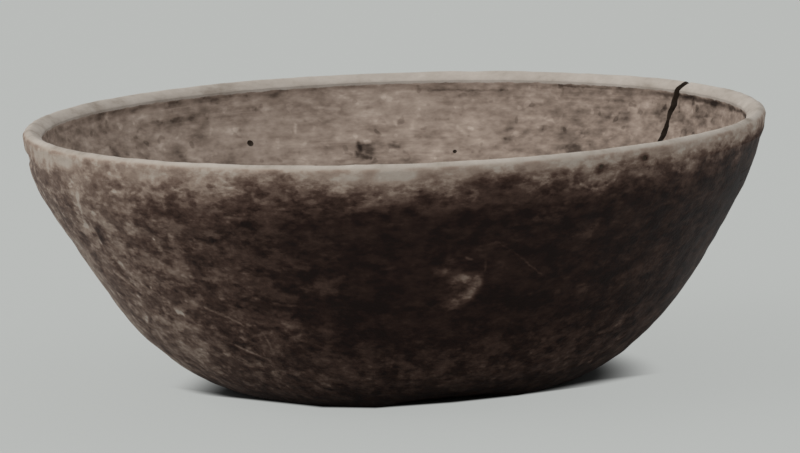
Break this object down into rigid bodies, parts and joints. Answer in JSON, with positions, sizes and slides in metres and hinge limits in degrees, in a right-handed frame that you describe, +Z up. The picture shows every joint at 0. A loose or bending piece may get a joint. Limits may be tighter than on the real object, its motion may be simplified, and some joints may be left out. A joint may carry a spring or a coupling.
{
  "type": "slip-coated earthenware bowl",
  "caption": "Round wheel-thrown bowl with a flaring wall, a flat base, a bare worn lip cracked at one place and a thin red slip inside and outside, for holding food or liquid.",
  "frame": {"origin": "centre of the flat base, on the surface that the bowl stands on", "axes": "+Z up along the bowl's axis; the picture looks along +Y, and the crack in the rim lies 33 degrees from +X towards +Y"},
  "size_m": [0.22, 0.22, 0.0792],
  "materials": {
    "bare_clay": "matte",
    "dark_slip": "satin",
    "worn_slip": "matte"
  },
  "bodies": {
    "root": {"clay_body": "bare_clay", "outer_slip": "dark_slip", "inner_slip": "worn_slip"}
  },
  "joints": []
}
